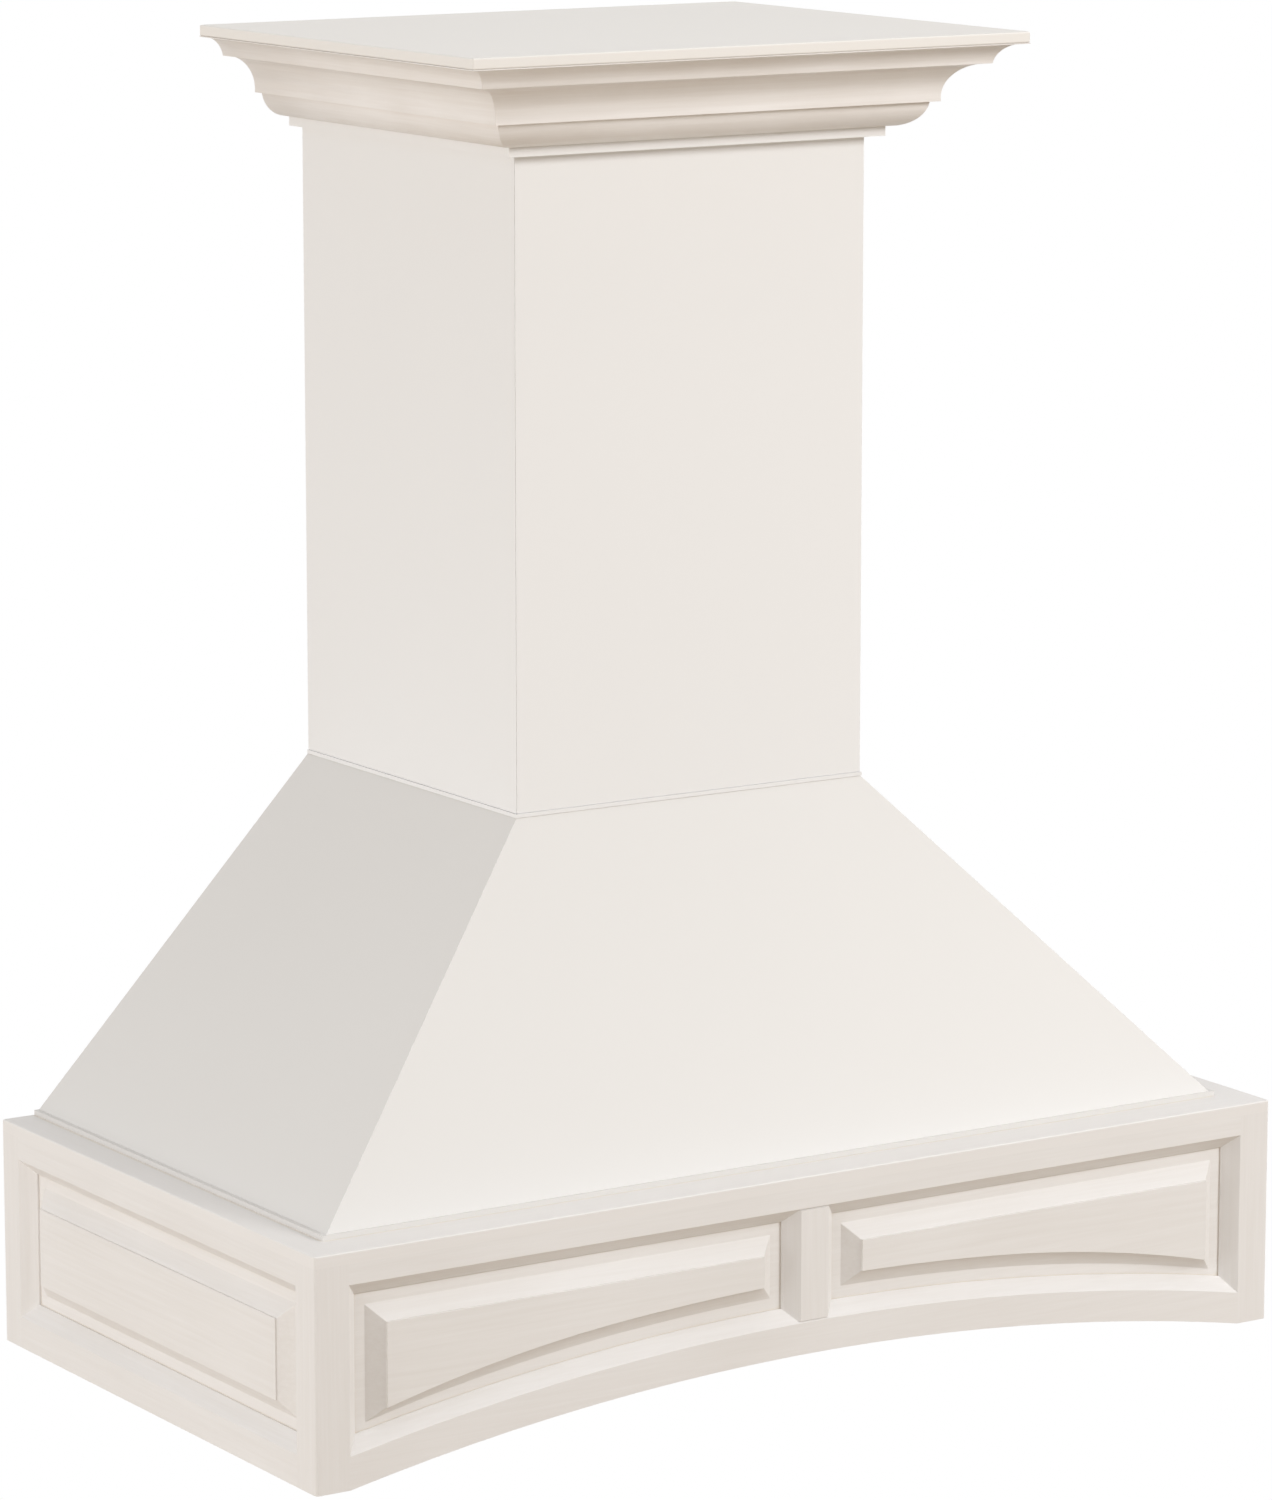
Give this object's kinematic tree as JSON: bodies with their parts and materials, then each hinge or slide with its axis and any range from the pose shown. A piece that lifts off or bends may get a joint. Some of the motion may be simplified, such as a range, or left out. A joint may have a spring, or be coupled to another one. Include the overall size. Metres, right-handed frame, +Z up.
{
  "type": "wooden range hood cover",
  "caption": "Wall-hung wooden range hood cover: arched apron with raised panels, sloping canopy, square chimney and stepped crown, painted cream.",
  "frame": {"origin": "middle of the bounding box, level with the bottom of the apron", "axes": "+X to the right as seen from the front, +Y towards the wall, +Z up"},
  "size_m": [0.9144, 0.511, 1.074],
  "materials": {
    "painted_frame": "cream satin paint with faint grain",
    "painted_sheet": "smooth cream satin paint",
    "painted_trim": "cream satin paint",
    "painted_crown": "cream satin paint with faint grain",
    "raw_wood": "bare planed poplar",
    "plywood": "bare sanded plywood",
    "zinc_steel": "zinc plated"
  },
  "bodies": {
    "root": {"apron_corner_blocks": "raw_wood", "apron_front_bottom_rail": "painted_frame", "apron_front_centre_stile": "painted_frame", "apron_front_left_panel": "painted_frame", "apron_front_left_stile": "painted_frame", "apron_front_right_panel": "painted_frame", "apron_front_right_stile": "painted_frame", "apron_front_top_rail": "painted_frame", "apron_left_bottom_rail": "painted_frame", "apron_left_front_stile": "painted_frame", "apron_left_panel": "painted_frame", "apron_left_rear_stile": "painted_frame", "apron_left_top_rail": "painted_frame", "apron_right_bottom_rail": "painted_frame", "apron_right_front_stile": "painted_frame", "apron_right_panel": "painted_frame", "apron_right_rear_stile": "painted_frame", "apron_right_top_rail": "painted_frame", "canopy_foot_rail_front": "raw_wood", "canopy_foot_rail_left": "raw_wood", "canopy_foot_rail_right": "raw_wood", "canopy_front": "painted_sheet", "canopy_hip_blocks": "raw_wood", "canopy_left": "painted_sheet", "canopy_rear_cleat_left": "raw_wood", "canopy_rear_cleat_right": "raw_wood", "canopy_right": "painted_sheet", "canopy_shoe_front": "painted_trim", "canopy_shoe_left": "painted_trim", "canopy_shoe_right": "painted_trim", "chimney_corner_cleats": "raw_wood", "chimney_front": "painted_sheet", "chimney_left": "painted_sheet", "chimney_rear_cleat_left": "raw_wood", "chimney_rear_cleat_right": "raw_wood", "chimney_right": "painted_sheet", "chimney_shoe_front": "painted_trim", "chimney_shoe_left": "painted_trim", "chimney_shoe_right": "painted_trim", "collar_rail_front": "raw_wood", "collar_rail_left": "raw_wood", "collar_rail_rear": "raw_wood", "collar_rail_right": "raw_wood", "crown_backing_front": "painted_crown", "crown_backing_left": "painted_crown", "crown_backing_right": "painted_crown", "crown_front": "painted_crown", "crown_left": "painted_crown", "crown_right": "painted_crown", "deck_front_cleat": "raw_wood", "deck_ledger_left": "raw_wood", "deck_ledger_right": "raw_wood", "deck_screws": "zinc_steel", "insert_deck": "plywood", "ledge_front": "painted_frame", "ledge_left": "painted_frame", "ledge_right": "painted_frame", "lower_hanging_rail": "raw_wood", "top_board": "painted_crown", "upper_hanging_rail": "raw_wood"}
  },
  "joints": []
}
